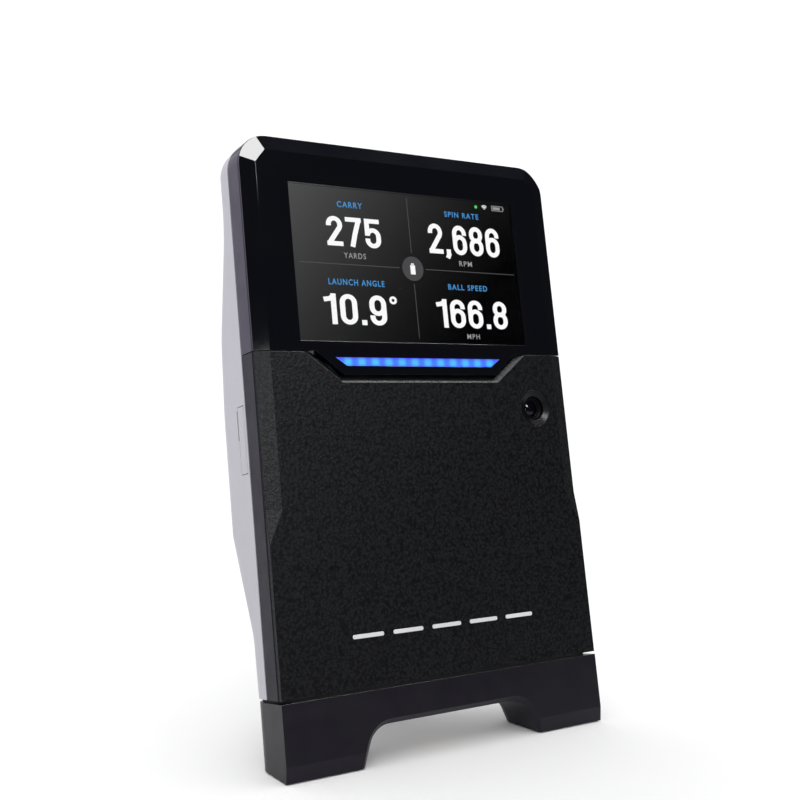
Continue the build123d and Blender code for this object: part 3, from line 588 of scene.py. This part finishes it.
# ---------------------------------------------------------------- studio
FLOOR_HALF = 12.0
WORLD_STRENGTH = 1.08
LOOK_AT = (0, 0, 0.13)          # about the object's middle
CARDS = [   # name, direction from a point, distance, width, height, level, that point, tint
    ("front_flag", (0.53, -0.75, 0.34), 1.1, 3.4, 3.0, 0.03, LOOK_AT, (1, 1, 1)),
    ("corner_panel", (0.058, -0.662, 0.748), 0.8, 0.2, 0.2, 26, (-0.07, -0.0045, 0.24), (1, 1, 1)),
    ("top_panel", (0, 0, 1), 0.9, 2.0, 1.2, 4.0, (0.35, 0.42, 0.13), (1, 1, 1)),
    ("brow_panel", (0, 0, 1), 0.9, 1.05, 0.5, 7.5, (-0.33, -0.42, 0.13), (1, 1, 1)),
    ("recess_panel", (0.44, 0.04, 0.90), 0.8, 0.42, 0.34, 42, (0, -0.02, 0.1485), (1, 1, 1)),
    ("ring_panel", (0.034, -0.743, 0.66), 0.8, 0.20, 0.20, 33, (0.0577, -0.03, 0.137), (1, 1, 1)),
    ("top_strip", (0.523, -0.384, 0.761), 0.7, 0.4, 0.24, 0.12, (0, -0.02, 0.24), (0.75, 0.8, 1.0)),
    ("left_panel", (-0.09, -0.93, 0.235), 0.30, 0.10, 0.11, 12.0, (-0.075, -0.02, 0.13), (1, 1, 1)),
    ("side_panel", (-0.532, 0.847, 0.1), 1.0, 1.8, 1.4, 1.25, LOOK_AT, (0.93, 0.90, 1.0)),
]


def flat_sheet(name, half_x, half_y):
    """A rectangle in its own plane, added to the scene."""
    mesh = bpy.data.meshes.new(name)
    corners = [(-half_x, -half_y, 0), (half_x, -half_y, 0), (half_x, half_y, 0), (-half_x, half_y, 0)]
    mesh.from_pydata(corners, [], [(0, 1, 2, 3)])
    sheet = bpy.data.objects.new(name, mesh)
    bpy.context.scene.collection.objects.link(sheet)
    return sheet


def reflection_card(name, direction, distance, width, height, level, about, tint):
    """A card seen only in reflections and through glass: a dark flag, or a bright panel at a high level."""
    card = flat_sheet(name, width / 2, height / 2)
    facing = Vector(direction).normalized()
    card.location = Vector(about) + facing * distance
    card.rotation_mode = "QUATERNION"
    card.rotation_quaternion = (-facing).to_track_quat("Z", "Y")
    material = bpy.data.materials.new(name)
    material.use_nodes = True
    tree = material.node_tree
    tree.nodes.clear()
    shine = tree.nodes.new("ShaderNodeEmission")
    shine.inputs["Color"].default_value = (*tint, 1)
    shine.inputs["Strength"].default_value = level
    out = tree.nodes.new("ShaderNodeOutputMaterial")
    tree.links.new(shine.outputs[0], out.inputs["Surface"])
    card.data.materials.append(material)
    for kind in ("camera", "diffuse", "shadow", "volume_scatter"):
        setattr(card, f"visible_{kind}", False)


def build_world():
    world = bpy.data.worlds.new("studio")
    world.use_nodes = True
    bpy.context.scene.world = world
    background = world.node_tree.nodes["Background"]
    background.inputs["Color"].default_value = (1, 1, 1, 1)
    background.inputs["Strength"].default_value = WORLD_STRENGTH


def build_floor():
    floor = flat_sheet("floor", FLOOR_HALF, FLOOR_HALF)
    paint = bpy.data.materials.new("floor_paint")
    paint.use_nodes = True
    shader = paint.node_tree.nodes["Principled BSDF"]
    shader.inputs["Base Color"].default_value = (0.98, 0.98, 0.98, 1)
    shader.inputs["Roughness"].default_value = 0.9
    shader.inputs["Specular IOR Level"].default_value = 0.0
    floor.data.materials.append(paint)


def build_key_light():
    """A weak square softbox from the upper left front."""
    light = bpy.data.lights.new("key_light", "AREA")
    light.shape = "RECTANGLE"
    light.size, light.size_y = 1.0, 1.0
    light.energy = 4
    holder = bpy.data.objects.new("key_light", light)
    bpy.context.scene.collection.objects.link(holder)
    centre, target = Vector((-0.9, -1.3, 1.5)), Vector((0, 0, 0.12))
    holder.location = centre
    holder.rotation_mode = "QUATERNION"
    holder.rotation_quaternion = (target - centre).to_track_quat("-Z", "Y")


def build_studio():
    bpy.context.scene.view_settings.view_transform = "Standard"
    build_world()
    build_floor()
    build_key_light()
    for card in CARDS:
        reflection_card(*card)


CAMERA_FROM_ORIGIN = Vector((-0.2626, -0.3799, 0.1125))      # metres from the body frame's origin
CAMERA_PITCH, CAMERA_ROLL, CAMERA_TURN = -0.21, 0.37, -32.16  # degrees
CAMERA_SENSOR, CAMERA_LENS = 36.0, 51.65                      # millimetres


def build_camera():
    """An almost level lens to the object's left front."""
    camera = bpy.data.cameras.new("camera")
    camera.sensor_width, camera.lens = CAMERA_SENSOR, CAMERA_LENS
    camera.clip_start = 0.02
    holder = bpy.data.objects.new("camera", camera)
    bpy.context.scene.collection.objects.link(holder)
    holder.location = ORIGIN + CAMERA_FROM_ORIGIN
    holder.rotation_euler = [math.radians(a) for a in (90 + CAMERA_PITCH, CAMERA_ROLL, CAMERA_TURN)]
    bpy.context.scene.camera = holder


paint_nodes()
build_readings()
build_dividers()
build_status_marks()
build_studio()
build_camera()
